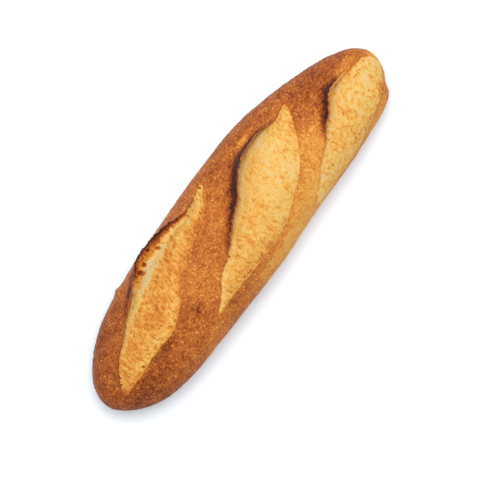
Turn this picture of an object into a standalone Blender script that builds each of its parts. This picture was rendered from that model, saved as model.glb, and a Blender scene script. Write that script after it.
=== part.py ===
"""A short baguette with three slashes, as one solid that lies on its flat base.

The loaf is a loft between unlike cross-sections that stand along X. Each one is a closed line round the loaf:
the flat base, the two sides, and a top in which every slash is a band. Across a band the line leaves the crust
at the crease, runs over the torn crumb, dips into the valley under the ear, climbs its inner wall, and turns
round the lip onto the raised crust behind it. Away from its slash a band lies flat in the crust.

Blender units are metres: X along the loaf, Y across it towards the ears, Z up from the surface it rests on.
"""

import math

import bmesh
import bpy
import numpy as np

MM = 0.001

# The loaf, in millimetres. Each station is (x, right edge y, left edge y, crown height).
HALF_LENGTH = 130.0
TIP_HEIGHT = 18.0
SIDE_SHIFT = 0.32  # stands the loaf so that the X axis halves its width
STATIONS = (
    (-130.0, -4.5, -4.5, TIP_HEIGHT),
    (-126.0, -14.8, 7.6, 27.0),
    (-118.0, -23.2, 15.2, 33.5),
    (-104.0, -30.6, 23.2, 39.5),
    (-84.0, -34.6, 29.3, 44.5),
    (-60.0, -35.5, 32.6, 47.5),
    (-30.0, -36.0, 34.3, 49.5),
    (0.0, -36.4, 35.6, 50.0),
    (30.0, -34.2, 35.7, 49.5),
    (50.0, -33.7, 34.2, 48.5),
    (70.0, -33.2, 30.1, 46.5),
    (90.0, -31.8, 24.7, 43.0),
    (108.0, -29.5, 18.0, 38.5),
    (117.0, -26.0, 13.2, 34.5),
    (121.0, -20.6, 10.8, 32.0),
    (125.5, -15.8, 6.6, 28.0),
    (130.0, -3.5, -3.5, TIP_HEIGHT),
)
BELLY_SHARE = 0.4  # how high the loaf is widest, as a share of its height
DOME_POWER = 2.15  # 2 is a round crown, and more is a squarer one
BASE_SHARE = 0.66  # the flat base's width, as a share of the loaf's
HEEL = 20.0  # the underside turns up over this length at each end

# The ears.
LIP = 1.6  # thickness of the torn crust at an ear's edge
EAR_RUN = 17.0  # crust that an ear lifts behind its edge
OPENING_RUN = 12.0  # a slash opens over this length at each end
CLOSING_RUN = 34.0  # a band drifts to its place in the plain crust over this length
FOLD_SHARE = 0.25  # the part of a flat band that the wall and lip take
FOLD_WIDTH = 1.8  # and the most they take
CAVE = 1.6  # how far the wall hollows out behind the valley

# The loft.
ROWS = 76
EVEN_SHARE = 0.1  # 0 spaces the sections as a cosine does, and 1 evenly
CRUMB_STEPS = (0.06, 0.2, 0.36, 0.52, 0.68, 0.84, 1.0)
WALL_STEPS = (0.3, 0.55, 0.8)
STRIP_STEPS = (0.3, 0.65)
EDGE_STRIP_STEPS = (0.25, 0.5, 0.75, 1.0)
SIDE_STEPS = (0.22, 0.44, 0.66, 0.84)
BASE_STEPS = 6


class Slash:
    """One cut, in millimetres. ear and crease are its two edges seen from above, as (x, y).

    lift is the ear's edge above the plain crust, undercut how far the valley's line lies behind that edge
    (negative where the ear leans outwards), valley its depth and step the crumb's rise at the crease.
    before and after are (crease, ear) places across the top, from -1 to 1, where the slash is closed.
    """

    def __init__(self, ear, crease, lift, undercut, valley, step, swell, before, after):
        self.ear = ear
        self.crease = crease
        self.lift = lift
        self.undercut = undercut
        self.valley = valley
        self.step = step
        self.swell = swell
        self.before = before
        self.after = after
        self.start = ear[0][0]
        self.end = ear[-1][0]

    def openness(self, x):
        first = self.lift[0][0]
        last = self.lift[-1][0]
        return ease((x - first) / OPENING_RUN) * ease((last - x) / OPENING_RUN)

    def places(self, x):
        """Where the crease and the ear's edge lie across the top at x, from -1 to 1."""
        inside = min(max(x, self.start), self.end)
        found = [across(inside, through(edge, inside)) for edge in (self.crease, self.ear)]
        closed = self.before if x < self.start else self.after
        drift = ease(abs(x - inside) / CLOSING_RUN)
        return [place + drift * (rest - place) for place, rest in zip(found, closed)]


SLASHES = (
    Slash(
        ear=(
            (38, -31), (48, -26), (58, -19.5), (70, -13.7), (78, -8.8), (86, -5), (93, 0.5),
            (99, 2.8), (106, 2), (112, 1), (118, 1), (124, 0.5),
        ),
        crease=((38, -32.4), (50, -32.7), (70, -32.2), (82, -31), (92, -29), (102, -26.2),
                (112, -24), (118, -20.5), (124, -16)),
        lift=((38, 0), (60, 1), (75, 3.5), (90, 6), (101, 5.4), (110, 1.8), (118, 0)),
        undercut=((38, 0), (70, 0.6), (90, 1.4), (102, 0.8), (112, 0)),
        valley=((38, 0), (46, 0.7), (70, 2), (92, 3.6), (102, 2.2), (112, 0)),
        step=((38, 0), (60, 0.4), (100, 0.6), (124, 0)),
        swell=((38, 0), (80, 1.2), (124, 0)),
        before=(-0.93, -0.84),
        after=(-0.87, 0.36),
    ),
    Slash(
        ear=(
            (-48, -24.5), (-40, -20.5), (-28, -12), (-20, -9), (-8, -4), (4, 3), (14, 7.5),
            (22, 13.5), (33, 19.5), (45, 21.3), (54, 20.8), (64, 18.3), (76, 20.4),
        ),
        crease=(
            (-48, -26.5), (-38, -25.5), (-20, -25.5), (0, -26.3), (12, -25.5), (25, -22.3),
            (38, -17), (50, -11), (60, -2.5), (68, 6), (73, 13.5), (76, 18.6),
        ),
        lift=((-48, 0), (-25, 1), (0, 4), (20, 7), (38, 7), (52, 4), (66, 1), (76, 0)),
        undercut=((-48, 0), (-20, 0.4), (10, 1.6), (40, 1.6), (60, 0.7), (76, 0)),
        valley=((-48, 0), (-40, 0.7), (-20, 1.8), (20, 4.2), (45, 4), (65, 2), (76, 0)),
        step=((-48, 0), (-20, 0.5), (50, 0.5), (76, 0)),
        swell=((-48, 0), (15, 2), (76, 0)),
        before=(-0.68, -0.5),
        after=(0.45, 0.6),
    ),
    Slash(
        ear=(
            (-119, -8.6), (-112, -1), (-103, 6.5), (-93, 11), (-80, 18), (-68, 23.5), (-58, 29.5),
            (-51, 33.4), (-38, 33.8), (-24, 31.5), (-12, 27.6), (-2, 28), (9, 31.2),
        ),
        crease=(
            (-119, -11), (-105, -11), (-90, -10), (-70, -10), (-60, -6.5), (-47, 0), (-35, 4.5),
            (-25, 10), (-12, 15), (0, 19.5), (6, 25), (9, 29.2),
        ),
        lift=((-119, 0), (-100, 1.5), (-80, 3), (-62, 6), (-48, 14), (-36, 13), (-20, 6), (-8, 2.5), (9, 0)),
        undercut=((-119, 0), (-100, 0.5), (-75, 1), (-62, -3), (-48, -9), (-34, -8), (-20, -5), (-5, -1), (9, 0)),
        valley=((-119, 0), (-112, 0.7), (-90, 2), (-60, 3.5), (-40, 4), (-20, 3), (0, 0.8), (9, 0)),
        step=((-119, 0), (-100, 0.6), (-78, 2.6), (-66, 1.6), (-54, 0.4), (9, 0)),
        swell=((-119, 0), (-60, 1.2), (9, 0)),
        before=(-0.4, -0.25),
        after=(0.7, 0.84),
    ),
)


def ease(share):
    """0 below 0, 1 above 1, and a smooth climb between."""
    held = min(max(share, 0.0), 1.0)
    return held * held * (3.0 - 2.0 * held)


def through(points, at):
    """The height at one place of a smooth line through (place, height) points, level past both ends."""
    places = [p[0] for p in points]
    heights = [p[1] for p in points]
    if at <= places[0]:
        return heights[0]
    if at >= places[-1]:
        return heights[-1]
    slopes = [0.0] * len(points)
    for k in range(1, len(points) - 1):
        slopes[k] = (heights[k + 1] - heights[k - 1]) / (places[k + 1] - places[k - 1])
    slopes[0] = (heights[1] - heights[0]) / (places[1] - places[0])
    slopes[-1] = (heights[-1] - heights[-2]) / (places[-1] - places[-2])
    k = max(i for i in range(len(points) - 1) if places[i] <= at)
    span = places[k + 1] - places[k]
    t = (at - places[k]) / span
    return (
        heights[k] * (1 + 2 * t) * (1 - t) ** 2
        + slopes[k] * span * t * (1 - t) ** 2
        + heights[k + 1] * t * t * (3 - 2 * t)
        + slopes[k + 1] * span * t * t * (t - 1)
    )


def around(x):
    """The place of x on a half turn from one tip to the other, where the round ends are smooth."""
    return math.acos(min(max(-x / HALF_LENGTH, -1.0), 1.0))


def station(x, column):
    return through([(around(row[0]), row[column]) for row in STATIONS], around(x))


class Outline:
    """The loaf's plain sizes at x, before any slash."""

    def __init__(self, x):
        right = station(x, 1)
        left = station(x, 2)
        self.middle = (left + right) / 2
        self.half = (left - right) / 2
        self.crown = station(x, 3)
        past = max(abs(x) - (HALF_LENGTH - HEEL), 0.0) / HEEL
        self.under = TIP_HEIGHT * (1 - math.sqrt(max(1 - past * past, 0.0)))
        self.belly = self.under + BELLY_SHARE * (self.crown - self.under)
        self.base_half = BASE_SHARE * self.half
        self.quarter = math.pi / 4 * (self.half + self.crown - self.belly)

    def dome(self, place):
        """The plain top at a place across it, from -1 to 1."""
        held = min(max(place, -1.0), 1.0)
        rise = (1 - abs(held) ** DOME_POWER) ** (1 / DOME_POWER)
        return np.array((self.middle + self.half * held, self.belly + (self.crown - self.belly) * rise))

    def turn(self, turn):
        """The same by a turn from -1 to 1, in which equal steps are about equal lengths of crust."""
        return self.dome(math.sin(turn * math.pi / 2))


def across(x, y):
    """The place of y across the top at x, from -1 to 1."""
    outline = Outline(x)
    return min(max((y - outline.middle) / outline.half, -0.985), 0.985)


def turn_of(place):
    return math.asin(min(max(place, -1.0), 1.0)) * 2 / math.pi


class Band:
    """One slash's part of the section at x."""

    def __init__(self, slash, outline, x):
        crease, ear = slash.places(x)
        self.outline = outline
        self.open = slash.openness(x)
        self.crease_turn = turn_of(crease)
        self.ear_turn = turn_of(ear)
        self.lift = through(slash.lift, x)
        self.valley = through(slash.valley, x)
        self.step = through(slash.step, x)
        self.swell = through(slash.swell, x)
        plain_edge = outline.turn(self.ear_turn)
        inside = min(max(x, slash.start), slash.end)
        drawn = np.array((through(slash.ear, inside), plain_edge[1] + self.lift))
        self.edge = plain_edge + self.open * (drawn - plain_edge)
        band = self.ear_turn - self.crease_turn
        flat_valley = self.ear_turn - min(FOLD_SHARE * band, FOLD_WIDTH / outline.quarter)
        self.undercut = through(slash.undercut, x)
        behind = (self.edge[0] + self.undercut - outline.middle) / outline.half
        open_valley = turn_of(min(max(behind, -0.97), 0.97))
        self.valley_turn = flat_valley + self.open * (open_valley - flat_valley)

    def crumb(self, share):
        """The torn crumb, from the crease at 0 to the valley at 1."""
        point = self.outline.turn(self.crease_turn + share * (self.valley_turn - self.crease_turn))
        rise = self.step * (1 - ease(share / 0.6)) + self.swell * math.sin(math.pi * share)
        point[1] += rise - self.valley * ease((share - 0.45) / 0.55)
        return point

    def fold(self):
        """The inner wall from the valley up, then round the lip to the edge of the crust."""
        low = self.crumb(1.0)
        inner = self.edge - (0.1, LIP)
        leaning = low + (0.75, 0.25) * (inner - low)
        caved = np.array((max(low[0], inner[0]) + CAVE * ease(self.lift / 4), low[1] + 0.2 * LIP))
        hollow = leaning + ease(0.5 + self.undercut / 3) * (caved - leaning)
        wall = [
            (1 - k) ** 2 * low + 2 * k * (1 - k) * hollow + k * k * inner for k in WALL_STEPS
        ]
        opened = [*wall, inner, self.edge - (0.6, 0.5 * LIP), self.edge]
        count = len(opened)
        made = []
        for number, point in enumerate(opened, start=1):
            turn = self.valley_turn + (self.ear_turn - self.valley_turn) * number / count
            plain = self.outline.turn(turn)
            plain[1] -= self.valley * (1 - number / count) * (1 - self.open)
            made.append(plain + self.open * (point - plain))
        return made


def strip(outline, band, start, end, steps):
    """Crust from one band's ear, or the right side, to the next crease, or the left side."""
    points = []
    for share in steps:
        turn = start + share * (end - start)
        point = outline.turn(turn)
        if band is not None:
            run = min(EAR_RUN, 0.9 * (end - start) * outline.quarter)
            near = max(1 - (turn - band.ear_turn) * outline.quarter / run, 0.0)
            point += near * near * (band.edge - outline.turn(band.ear_turn))
        points.append(point)
    return points


def section(x):
    """The closed cross-section at x as (y, z) points: right side up, over the top, left side down, base."""
    outline = Outline(x)
    bands = [Band(slash, outline, x) for slash in SLASHES]
    foot = np.array((outline.half - outline.base_half, outline.belly - outline.under))
    side = [
        np.array((
            outline.base_half + foot[0] * math.cos(share * math.pi / 2),
            outline.belly - foot[1] * math.sin(share * math.pi / 2),
        ))
        for share in SIDE_STEPS
    ]
    points = [(outline.middle - y, z) for y, z in reversed(side)]
    points.append((outline.middle - outline.half, outline.belly))
    start = -1.0
    band = None
    for following in bands:
        points += strip(outline, band, start, following.crease_turn, (*STRIP_STEPS, 1.0))
        points += [following.crumb(share) for share in CRUMB_STEPS]
        points += following.fold()
        start = following.ear_turn
        band = following
    points += strip(outline, band, start, 1.0, EDGE_STRIP_STEPS)
    points += [(outline.middle + y, z) for y, z in side]
    for k in range(BASE_STEPS + 1):
        y = outline.middle + outline.base_half * (1 - 2 * k / BASE_STEPS)
        points.append((y, outline.under))
    return points


def row_places():
    """Where the sections stand along X: closer together where the ends turn in."""
    places = []
    for k in range(1, ROWS):
        share = k / ROWS
        even = 2 * share - 1
        places.append(HALF_LENGTH * (EVEN_SHARE * even - (1 - EVEN_SHARE) * math.cos(math.pi * share)))
    return places


def stood(x, y, z):
    """A point of the drawn loaf, in metres and where it stands."""
    return (x * MM, (y + SIDE_SHIFT) * MM, z * MM)


def loft_loaf():
    """The loaf's skin: the sections joined one to the next, and to a point at each tip."""
    bm = bmesh.new()
    rings = []
    for x in row_places():
        rings.append([bm.verts.new(stood(x, y, z)) for y, z in section(x)])
    for ring, following in zip(rings, rings[1:]):
        for k in range(len(ring)):
            after = (k + 1) % len(ring)
            bm.faces.new((ring[k], following[k], following[after], ring[after]))
    for ring, end in ((rings[0], STATIONS[0]), (rings[-1], STATIONS[-1])):
        tip = bm.verts.new(stood(end[0], end[1], end[3]))
        for k in range(len(ring)):
            corners = (tip, ring[k], ring[(k + 1) % len(ring)])
            bm.faces.new(corners if end is STATIONS[0] else corners[::-1])
    bmesh.ops.triangulate(bm, faces=bm.faces, quad_method="SHORT_EDGE")
    mesh = bpy.data.meshes.new("baguette")
    bm.to_mesh(mesh)
    bm.free()
    return mesh


def baked_crust():
    """The loaf's one material: browned crust, slightly uneven in colour."""
    material = bpy.data.materials.new("baked_crust")
    material.use_nodes = True
    shader = material.node_tree.nodes["Principled BSDF"]
    shader.inputs["Base Color"].default_value = (0.55, 0.19, 0.05, 1.0)
    shader.inputs["Roughness"].default_value = 0.6
    shader.inputs["Metallic"].default_value = 0.0
    return material


def main():
    for old in list(bpy.data.objects):
        bpy.data.objects.remove(old)
    loaf = bpy.data.objects.new("baguette", loft_loaf())
    collection = bpy.data.collections.new("baguette_parts")
    bpy.context.scene.collection.children.link(collection)
    collection.objects.link(loaf)
    loaf.data.materials.append(baked_crust())
    loaf.data.shade_smooth()


main()
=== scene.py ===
"""A short baguette fresh from the oven: blistered brown crust, and three slashes whose torn crumb swelled out
under charred ears. The crust is one closed skin. It is sunk under the slashes, where a closed slab of crumb
lies in each. All three follow the same cross-sections, so the pieces meet along the torn edges.

Drawn in millimetres and built in metres: X along the loaf, Y across it towards the ears, Z up.
"""

import itertools
import math

import bpy
import numpy as np
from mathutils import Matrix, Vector


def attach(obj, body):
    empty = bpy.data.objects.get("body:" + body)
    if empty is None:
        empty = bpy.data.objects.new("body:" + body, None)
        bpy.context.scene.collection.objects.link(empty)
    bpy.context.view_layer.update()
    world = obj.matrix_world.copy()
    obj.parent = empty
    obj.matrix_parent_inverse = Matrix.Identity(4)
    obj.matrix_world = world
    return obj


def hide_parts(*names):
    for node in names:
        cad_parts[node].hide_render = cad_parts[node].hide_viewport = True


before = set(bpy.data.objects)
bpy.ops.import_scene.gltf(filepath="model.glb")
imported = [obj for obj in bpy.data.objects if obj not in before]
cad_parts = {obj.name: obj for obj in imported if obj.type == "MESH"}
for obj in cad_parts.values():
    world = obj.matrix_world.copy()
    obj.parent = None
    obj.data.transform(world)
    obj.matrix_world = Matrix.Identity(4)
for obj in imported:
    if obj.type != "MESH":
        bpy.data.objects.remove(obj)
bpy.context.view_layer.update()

MM = 0.001

# The loaf's plain form. Each station is (x, right edge y, left edge y, crown height).
HALF_LENGTH = 130.0
TIP_HEIGHT = 18.0
SIDE_SHIFT = 0.32
STATIONS = (
    (-130.0, -4.5, -4.5, TIP_HEIGHT),
    (-126.0, -14.8, 7.6, 27.0),
    (-118.0, -23.2, 15.2, 33.5),
    (-104.0, -30.6, 23.2, 39.5),
    (-84.0, -34.6, 29.3, 44.5),
    (-60.0, -35.5, 32.6, 47.5),
    (-30.0, -36.0, 34.3, 49.5),
    (0.0, -36.4, 35.6, 50.0),
    (30.0, -34.2, 35.7, 49.5),
    (50.0, -33.7, 34.2, 48.5),
    (70.0, -33.2, 30.1, 46.5),
    (90.0, -31.8, 24.7, 43.0),
    (108.0, -29.5, 18.0, 38.5),
    (117.0, -26.0, 13.2, 34.5),
    (121.0, -20.6, 10.8, 32.0),
    (125.5, -15.8, 6.6, 28.0),
    (130.0, -3.5, -3.5, TIP_HEIGHT),
)
BELLY_SHARE = 0.4
DOME_POWER = 2.15
BASE_SHARE = 0.66
HEEL = 20.0

# The ears.
LIP = 1.6
EAR_RUN = 17.0
OPENING_RUN = 12.0
CLOSING_RUN = 34.0
FOLD_SHARE = 0.25
FOLD_WIDTH = 1.8
CAVE = 1.6
WALL_PART = 4 / 6  # the part of a fold that is wall, and the rest is lip

# How finely the skins are drawn.
CRUST_ROWS = 440
CRUST_EVEN_SHARE = 0.85
SIDE_POINTS = 20
STRIP_POINTS = (14, 44, 30, 44)  # crust before each slash, and after the last
SUNK_POINTS = 6
SUNK_WALL_POINTS = 3
LIP_POINTS = 5
BASE_POINTS = 6
CRUMB_ROW = 0.3
CRUMB_POINTS = 112
WALL_POINTS = 36


class Slash:
    """One cut. ear and crease are its two edges seen from above, as (x, y), and the rest goes along x too.

    lift is the ear's edge above the plain crust, undercut how far the valley lies behind that edge, valley its
    depth, step the crumb's rise at the crease and swell its crown. before and after are (crease, ear) places
    across the top, from -1 to 1, where the slash is closed. The rest is the baking: scorch is (x, width,
    strength, gap) of the char behind the edge and of the unburnt rim before it, rim how orange that rim is,
    soft the width over which the crumb's near border browns, tone how brown the crumb is, and cream is
    (x, amount, width) of its paler strip under the ear.
    """

    def __init__(
        self, name, ear, crease, lift, undercut, valley, step, swell, before, after, scorch, rim, soft, tone, cream
    ):
        self.name = name
        self.ear = ear
        self.crease = crease
        self.lift = lift
        self.undercut = undercut
        self.valley = valley
        self.step = step
        self.swell = swell
        self.before = before
        self.after = after
        self.scorch = scorch
        self.rim = rim
        self.soft = soft
        self.tone = tone
        self.cream = cream
        self.start = ear[0][0]
        self.end = ear[-1][0]

    def openness(self, x):
        first = self.lift[0][0]
        last = self.lift[-1][0]
        return ease((x - first) / OPENING_RUN) * ease((last - x) / OPENING_RUN)

    def places(self, x):
        """Where the crease and the ear's edge lie across the top at x, from -1 to 1."""
        inside = min(max(x, self.start), self.end)
        found = [across(inside, through(edge, inside)) for edge in (self.crease, self.ear)]
        closed = self.before if x < self.start else self.after
        drift = ease(abs(x - inside) / CLOSING_RUN)
        return [place + drift * (rest - place) for place, rest in zip(found, closed)]


SLASHES = (
    Slash(
        name="right",
        ear=(
            (38, -31), (48, -26), (58, -19.5), (70, -13.7), (78, -8.8), (86, -5), (93, 0.5),
            (99, 2.8), (106, 2), (112, 1), (118, 1), (124, 0.5),
        ),
        crease=((38, -32.4), (50, -32.7), (70, -32.2), (82, -31), (92, -29), (102, -26.2),
                (112, -24), (118, -20.5), (124, -16)),
        lift=((38, 0), (60, 1), (75, 3.5), (90, 6), (101, 5.4), (110, 1.8), (118, 0)),
        undercut=((38, 0), (70, 0.6), (90, 1.4), (102, 0.8), (112, 0)),
        valley=((38, 0), (46, 0.7), (70, 2), (92, 3.6), (102, 2.2), (112, 0)),
        step=((38, 0), (60, 0.15), (90, 0.3), (105, 0.6), (124, 0)),
        swell=((38, 0), (80, 1.2), (124, 0)),
        before=(-0.93, -0.84),
        after=(-0.87, 0.36),
        scorch=(
            (70, 0, 0, 0), (76, 2.2, 0.6, 0.4), (83, 4.0, 1, 0.7), (91, 4.4, 1, 0.9), (96, 4, 1, 1.1),
            (101, 2.8, 0.95, 1.3), (106, 1.4, 0.35, 1.5), (110, 0, 0, 1.5),
        ),
        rim=((38, 0.5), (66, 0.8), (86, 0.8), (93, 0.5), (97, 0), (124, 0)),
        soft=((38, 1.6), (70, 0.9), (104, 0.9), (116, 2.5), (130, 3)),
        tone=((38, 0.29), (52, 0.3), (70, 0.34), (88, 0.33), (105, 0.3), (119, 0.26), (129, 0.26)),
        cream=((38, 0.03, 2), (80, 0.08, 3.5), (97, 0.06, 4), (108, 0, 4), (118, -0.06, 3)),
    ),
    Slash(
        name="middle",
        ear=(
            (-48, -24.5), (-40, -20.5), (-28, -12), (-20, -9), (-8, -4), (4, 3), (14, 7.5),
            (22, 13.9), (33, 19.7), (45, 21.3), (54, 20.8), (64, 18.3), (76, 20.4),
        ),
        crease=(
            (-48, -26.5), (-38, -25.5), (-20, -25.5), (0, -26.3), (12, -25.5), (25, -22.3),
            (38, -17), (50, -11), (60, -2.5), (68, 6), (73, 13.5), (76, 18.6),
        ),
        lift=((-48, 0), (-25, 1), (0, 4), (20, 7), (38, 7), (52, 4), (66, 1), (76, 0)),
        undercut=((-48, 0), (-20, 0.4), (10, 1.6), (40, 1.6), (60, 0.7), (76, 0)),
        valley=((-48, 0), (-40, 0.7), (-20, 1.8), (20, 4.2), (45, 4), (65, 2), (76, 0)),
        step=((-48, 0), (-20, 0.2), (50, 0.15), (76, 0)),
        swell=((-48, 0), (15, 2), (76, 0)),
        before=(-0.68, -0.5),
        after=(0.45, 0.6),
        scorch=(
            (-20, 0, 0, 0), (-12, 2, 0.45, 0.4), (-3, 3.2, 0.7, 0.4), (8, 4.2, 0.92, 0.5), (20, 5.2, 1, 0.7),
            (31, 4.8, 1, 0.6), (38, 3, 1, 1.0), (47, 2, 0.95, 0.9), (55, 1.5, 0.55, 0.5), (62, 0.9, 0.15, 0.3),
            (70, 0, 0, 0),
        ),
        rim=((-48, 0.4), (-30, 0.8), (0, 0.6), (30, 0.6), (50, 0.5), (76, 0.3)),
        soft=((-48, 2.5), (-20, 1.6), (30, 1.2), (60, 1.6), (76, 3)),
        tone=(
            (-48, 0.31), (-38, 0.32), (-20, 0.42), (0, 0.38), (20, 0.32), (35, 0.3), (50, 0.25), (60, 0.33),
            (76, 0.4),
        ),
        cream=((-48, 0.04, 2), (-20, 0.12, 4), (10, 0.09, 4), (35, 0.09, 5), (55, 0.03, 4), (70, 0.0, 3)),
    ),
    Slash(
        name="left",
        ear=(
            (-119, -8.6), (-112, -1), (-103, 6.5), (-93, 11), (-80, 18), (-68, 23.5), (-58, 29.5),
            (-51, 33.4), (-38, 33.8), (-24, 31.5), (-12, 27.6), (-2, 28), (9, 31.2),
        ),
        crease=(
            (-119, -11), (-105, -11), (-90, -10), (-70, -10), (-60, -6.5), (-47, 0), (-35, 4.5),
            (-25, 10), (-12, 15), (0, 19.5), (6, 25), (9, 29.2),
        ),
        lift=((-119, 0), (-100, 1.5), (-80, 3), (-62, 6), (-48, 14), (-36, 13), (-20, 6), (-8, 2.5), (9, 0)),
        undercut=((-119, 0), (-100, 0.5), (-75, 1), (-62, -3), (-48, -9), (-34, -8), (-20, -5), (-5, -1), (9, 0)),
        valley=((-119, 0), (-112, 0.7), (-90, 2), (-60, 3.5), (-40, 4), (-20, 3), (0, 0.8), (9, 0)),
        step=((-119, 0), (-100, 0.6), (-78, 2.6), (-66, 1.6), (-54, 0.4), (9, 0)),
        swell=((-119, 0), (-60, 1.2), (9, 0)),
        before=(-0.4, -0.25),
        after=(0.7, 0.84),
        scorch=(
            (-84, 0, 0, 1), (-75, 1.8, 0.6, 1.2), (-66, 2.4, 0.9, 1.1), (-58, 2, 0.8, 0.6), (-50, 1.5, 1, 0),
            (-37, 1.4, 1, 0), (-28, 1, 0.95, 0), (-18, 0.7, 0.6, 0), (-4, 0, 0, 0),
        ),
        rim=((-119, 0.5), (-108, 1.3), (-62, 1.3), (-50, 0.4), (-22, 0.9), (9, 0.5)),
        soft=((-119, 1.5), (-70, 1.5), (-58, 4), (-45, 9), (-20, 10), (0, 7), (9, 3)),
        tone=(
            (-119, 0.54), (-110, 0.51), (-100, 0.47), (-85, 0.46), (-70, 0.5), (-55, 0.43), (-40, 0.49), (-28, 0.42),
            (-12, 0.38), (-4, 0.38), (9, 0.42),
        ),
        cream=(
            (-119, 0.03, 3), (-95, 0.12, 3.5), (-75, 0.24, 5.5), (-62, 0.33, 8.5), (-52, 0.36, 13),
            (-44, 0.33, 13.2), (-38, 0.28, 11), (-30, 0.14, 7.6), (-21, 0.2, 5.6), (-8, 0.06, 2.5),
        ),
    ),
)


# --- Curves ---------------------------------------------------------------------------------------------


def ease(share):
    """0 below 0, 1 above 1, and a smooth climb between."""
    held = np.clip(share, 0.0, 1.0)
    return held * held * (3.0 - 2.0 * held)


def through(points, at):
    """The height at one place of a smooth line through (place, height) points, level past both ends."""
    places = [p[0] for p in points]
    heights = [p[1] for p in points]
    if at <= places[0]:
        return heights[0]
    if at >= places[-1]:
        return heights[-1]
    slopes = [0.0] * len(points)
    for k in range(1, len(points) - 1):
        slopes[k] = (heights[k + 1] - heights[k - 1]) / (places[k + 1] - places[k - 1])
    slopes[0] = (heights[1] - heights[0]) / (places[1] - places[0])
    slopes[-1] = (heights[-1] - heights[-2]) / (places[-1] - places[-2])
    k = max(i for i in range(len(points) - 1) if places[i] <= at)
    span = places[k + 1] - places[k]
    t = (at - places[k]) / span
    return (
        heights[k] * (1 + 2 * t) * (1 - t) ** 2
        + slopes[k] * span * t * (1 - t) ** 2
        + heights[k + 1] * t * t * (3 - 2 * t)
        + slopes[k + 1] * span * t * t * (t - 1)
    )


def between(points, at, column=1):
    """The value in one column at each place of an array, on straight lines through the points."""
    return np.interp(at, [p[0] for p in points], [p[column] for p in points])


def around(x):
    """The place of x on a half turn from one tip to the other, where the round ends are smooth."""
    return math.acos(min(max(-x / HALF_LENGTH, -1.0), 1.0))


def station(x, column):
    return through([(around(row[0]), row[column]) for row in STATIONS], around(x))


# --- Noise ----------------------------------------------------------------------------------------------


def lattice(seed):
    """A shuffled table of 256 places and a slope for each, the same every run."""
    shuffle = np.random.default_rng(seed)
    slopes = shuffle.normal(size=(256, 3))
    return shuffle.permutation(256), slopes / np.linalg.norm(slopes, axis=1)[:, None]


LATTICES = [lattice(seed) for seed in range(8)]


def cell_key(order, cell):
    return order[(order[(order[cell[:, 0] & 255] + cell[:, 1]) & 255] + cell[:, 2]) & 255]


def lumps(points, size, seed=0):
    """Smooth noise from about -1 to 1, in lumps about size across."""
    order, slopes = LATTICES[seed]
    scaled = points / size
    cell = np.floor(scaled).astype(int)
    part = scaled - cell
    smooth = part**3 * (part * (part * 6 - 15) + 10)
    total = np.zeros(len(points))
    for corner in itertools.product((0, 1), repeat=3):
        slope = slopes[cell_key(order, cell + corner)]
        weight = np.prod(np.where(corner, smooth, 1 - smooth), axis=1)
        total += weight * np.einsum("ij,ij->i", slope, part - corner)
    return 1.6 * total


def pits(points, size, seed=0):
    """Round spots scattered one to a cell of that size: (distance to the nearest centre in cells, its chance)."""
    order, slopes = LATTICES[seed]
    scaled = points / size
    cell = np.floor(scaled).astype(int)
    nearest = np.full(len(points), 9.0)
    chance = np.zeros(len(points))
    for step in itertools.product((-1, 0, 1), repeat=3):
        key = cell_key(order, cell + step)
        centre = cell + step + 0.5 + 0.42 * slopes[key]
        distance = np.linalg.norm(scaled - centre, axis=1)
        closer = distance < nearest
        nearest = np.where(closer, distance, nearest)
        chance = np.where(closer, key / 255, chance)
    return nearest, chance


def two_nearest(scaled, seed):
    """The distances to the two nearest of some points scattered one to a unit square."""
    order, slopes = LATTICES[seed]
    cell = np.floor(scaled).astype(int)
    cell[:, 2] = 0
    nearest = np.full(len(scaled), 9.0)
    second = np.full(len(scaled), 9.0)
    for step in itertools.product((-1, 0, 1), (-1, 0, 1), (0,)):
        centre = cell[:, :2] + step[:2] + 0.5 + 0.45 * slopes[cell_key(order, cell + step), :2]
        distance = np.linalg.norm(scaled[:, :2] - centre, axis=1)
        second = np.minimum(second, np.maximum(distance, nearest))
        nearest = np.minimum(nearest, distance)
    return nearest, second


def along_line(x, size, seed):
    """The same smooth noise along one line."""
    at = np.zeros((1, 3))
    at[0] = (x, 7.3 * seed, 2.1)
    return lumps(at, size, seed)[0]


# --- Cross-sections -------------------------------------------------------------------------------------


# Teeth of charred crust along the left ear's edge, as (x, half width, how far out).
TEETH = ((-48.5, 1.4, 0.5), (-43.4, 0.9, 0.7), (-38.0, 0.8, 0.7), (-45, 9, -0.3))


class Outline:
    """The loaf's plain sizes at x, before any slash."""

    def __init__(self, x):
        right = station(x, 1)
        left = station(x, 2)
        self.middle = (left + right) / 2
        self.half = (left - right) / 2
        self.crown = station(x, 3)
        past = max(abs(x) - (HALF_LENGTH - HEEL), 0.0) / HEEL
        self.under = TIP_HEIGHT * (1 - math.sqrt(max(1 - past * past, 0.0)))
        self.belly = self.under + BELLY_SHARE * (self.crown - self.under)
        self.base_half = BASE_SHARE * self.half
        self.quarter = math.pi / 4 * (self.half + self.crown - self.belly)

    def turn(self, turns):
        """The plain top at turns from -1 to 1, as rows of (y, z), in about equal lengths of crust."""
        held = np.sin(np.clip(turns, -1, 1) * math.pi / 2)
        rise = (1 - np.abs(held) ** DOME_POWER) ** (1 / DOME_POWER)
        return np.stack(
            (self.middle + self.half * held, self.belly + (self.crown - self.belly) * rise), axis=-1
        )


def across(x, y):
    """The place of y across the top at x, from -1 to 1."""
    outline = Outline(x)
    return min(max((y - outline.middle) / outline.half, -0.985), 0.985)


def turn_of(place):
    return math.asin(min(max(place, -1.0), 1.0)) * 2 / math.pi


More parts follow.
